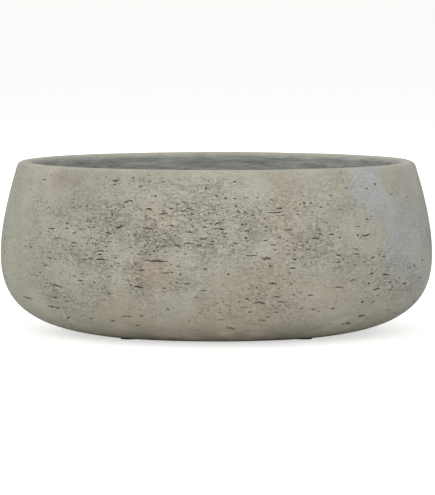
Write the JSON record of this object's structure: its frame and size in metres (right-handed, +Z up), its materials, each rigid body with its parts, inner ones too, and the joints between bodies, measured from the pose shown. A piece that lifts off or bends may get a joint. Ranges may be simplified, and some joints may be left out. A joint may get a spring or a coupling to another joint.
{
  "type": "planter bowl",
  "caption": "Wide low round planter bowl with a swelling belly, drawn-in rim, rubber drain bung and floor pads.",
  "frame": {"origin": "on the ground under the centre of the bowl, in the plane of the pads' undersides", "axes": "+Z up along the bowl's axis; the bung's grip lies along X, and the pads lie on the diagonals between X and Y"},
  "size_m": [0.44, 0.44, 0.1745],
  "materials": {
    "bowl_composite": "matte",
    "bung_rubber": "matte",
    "pad_rubber": "matte"
  },
  "bodies": {
    "bowl": {"bowl": "bowl_composite", "floor_pad_1": "pad_rubber", "floor_pad_2": "pad_rubber", "floor_pad_3": "pad_rubber", "floor_pad_4": "pad_rubber"},
    "bung": {"drain_bung": "bung_rubber"}
  },
  "joints": [
    {"name": "bung_lift", "type": "slide", "parent": "bowl", "child": "bung", "axis": [0, 0, 1], "range_m": [0, 0.18]}
  ]
}
